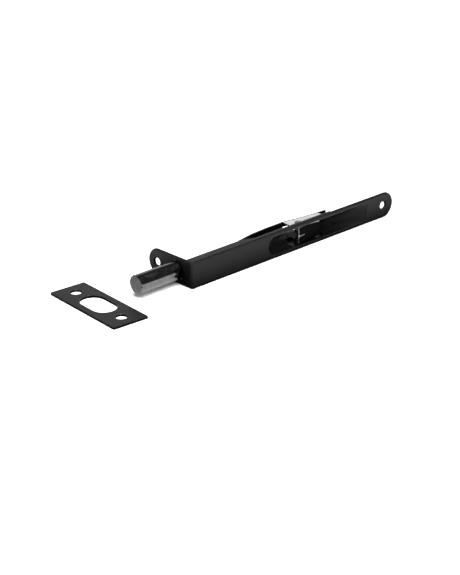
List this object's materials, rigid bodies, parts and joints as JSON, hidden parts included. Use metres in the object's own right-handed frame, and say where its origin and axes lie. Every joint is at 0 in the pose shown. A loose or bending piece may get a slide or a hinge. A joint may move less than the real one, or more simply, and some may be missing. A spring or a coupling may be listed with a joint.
{
  "type": "lever flush bolt",
  "caption": "Narrow flush bolt with an end plate, a radius end, a flip-over thumb lever whose slotted crank draws a round bolt, and a separate flat strike plate.",
  "frame": {"origin": "where the end plate's outer face, the plane of the face plate's back and the plane halfway across the width meet", "axes": "+X along the bolt from the end plate towards the rounded end (the bolt is thrown towards -X); +Y from the face plate into the door; +Z across the face's width, up as the part lies on its long side"},
  "size_m": [0.2762, 0.0735, 0.019],
  "materials": {
    "black_finish": "matte black oxide and lacquer on pressed steel",
    "lever_black": "matte black lacquer with bare sheared edges",
    "bolt_black": "satin black plating on turned steel",
    "zinc_plate": "bright zinc-plated steel",
    "spring_steel": "blued steel",
    "dark_steel": "black oxide steel",
    "pin_steel": "plain drawn steel",
    "ferrule_nylon": "black nylon"
  },
  "bodies": {
    "housing": {"face_housing": "black_finish", "back_strap": "black_finish", "cheek_low": "dark_steel", "cheek_high": "zinc_plate", "rod_guide": "black_finish", "leaf_spring": "spring_steel", "end_ferrule": "ferrule_nylon", "pivot_pin": "pin_steel", "pivot_washers": "zinc_plate"},
    "lever": {"lever_arm": "zinc_plate", "lever_cap": "lever_black", "cam_plate": "dark_steel", "cam_rivet": "pin_steel", "cam_spacers": "dark_steel"},
    "bolt": {"bolt_head": "bolt_black", "rod_shank": "dark_steel", "head_pin": "pin_steel", "fork": "dark_steel", "fork_pin": "pin_steel", "drive_pin": "dark_steel"},
    "strike": {"strike_plate": "black_finish"}
  },
  "joints": [
    {"name": "lever_turn", "type": "hinge", "parent": "housing", "child": "lever", "pos_m": [0.1052, 0.0039, 0], "axis": [0, 0, -1], "range_deg": [0, 120]},
    {"name": "bolt_slide", "type": "slide", "parent": "housing", "child": "bolt", "axis": [1, 0, 0], "range_m": [0, 0.034]},
    {"name": "strike_lift", "type": "slide", "parent": "housing", "child": "strike", "axis": [0, 0, 1], "range_m": [0, 0.03]}
  ],
  "couplings": [
    {"joint": "lever_turn", "follows": "bolt_slide", "rad_per_m": 61.6}
  ]
}
